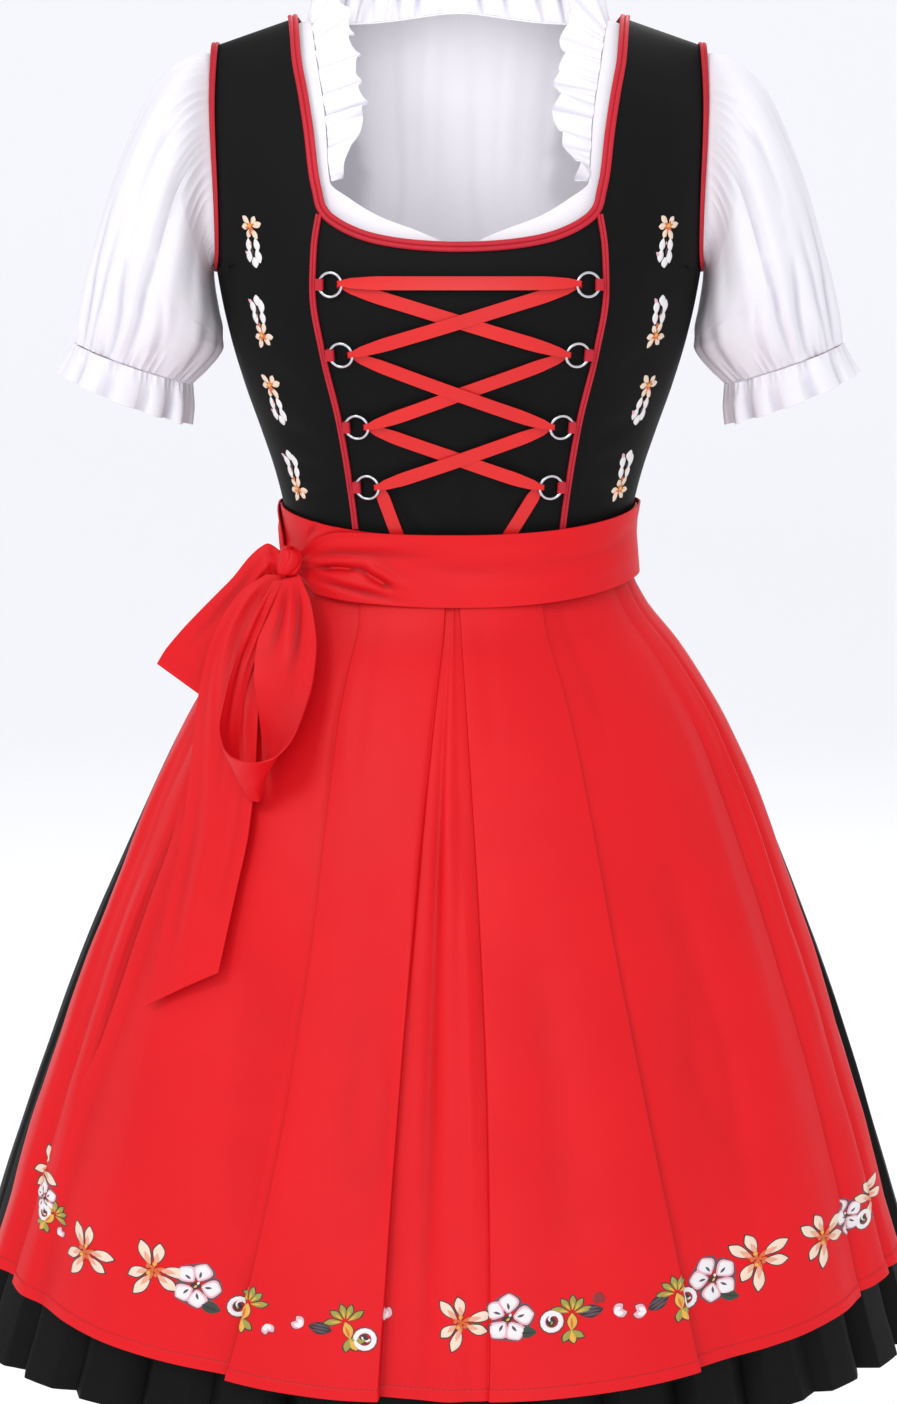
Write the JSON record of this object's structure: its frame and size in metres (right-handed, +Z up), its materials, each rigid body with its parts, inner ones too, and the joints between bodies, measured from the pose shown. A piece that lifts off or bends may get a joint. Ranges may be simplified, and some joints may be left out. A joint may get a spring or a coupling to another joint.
{
  "type": "dirndl",
  "caption": "Dirndl set, worn and hollow: laced bodice with a pleated skirt, puff-sleeved blouse with a ruffled neck, and an apron whose ties end in a bow at the side.",
  "frame": {"origin": "middle of the shoulder line, where the wearer's shoulders hold the dress", "axes": "+Z up, -Y to the front, +X to the wearer's left"},
  "size_m": [0.7972, 0.6029, 1.0713],
  "materials": {
    "black_cotton": "matte twill",
    "red_satin": "soft satin",
    "red_trim": "ribbed tape",
    "white_cotton": "thin matte cotton",
    "ring_steel": "polished"
  },
  "bodies": {
    "root": {"bodice_centre": "black_cotton", "bodice_front_right": "black_cotton", "bodice_front_left": "black_cotton", "bodice_back_right": "black_cotton", "bodice_back_left": "black_cotton", "skirt_front": "black_cotton", "skirt_back": "black_cotton", "binding_neckline": "red_trim", "binding_armhole_right": "red_trim", "binding_armhole_left": "red_trim", "piping_seam_right": "red_trim", "piping_seam_left": "red_trim", "lacing": "red_trim", "tab_right_1": "red_trim", "tab_right_2": "red_trim", "tab_right_3": "red_trim", "tab_right_4": "red_trim", "tab_left_1": "red_trim", "tab_left_2": "red_trim", "tab_left_3": "red_trim", "tab_left_4": "red_trim", "ring_right_1": "ring_steel", "ring_right_2": "ring_steel", "ring_right_3": "ring_steel", "ring_right_4": "ring_steel", "ring_left_1": "ring_steel", "ring_left_2": "ring_steel", "ring_left_3": "ring_steel", "ring_left_4": "ring_steel", "apron": "red_satin", "apron_waistband": "red_satin", "apron_tie": "red_satin", "bow_knot": "red_satin", "bow_loop_front": "red_satin", "bow_loop_side": "red_satin", "bow_tail_long": "red_satin", "bow_tail_under": "red_satin", "blouse_front_right": "white_cotton", "blouse_front_left": "white_cotton", "blouse_back": "white_cotton", "sleeve_right": "white_cotton", "sleeve_left": "white_cotton", "cuff_right": "white_cotton", "cuff_left": "white_cotton", "neck_ruffle": "white_cotton"}
  },
  "joints": []
}
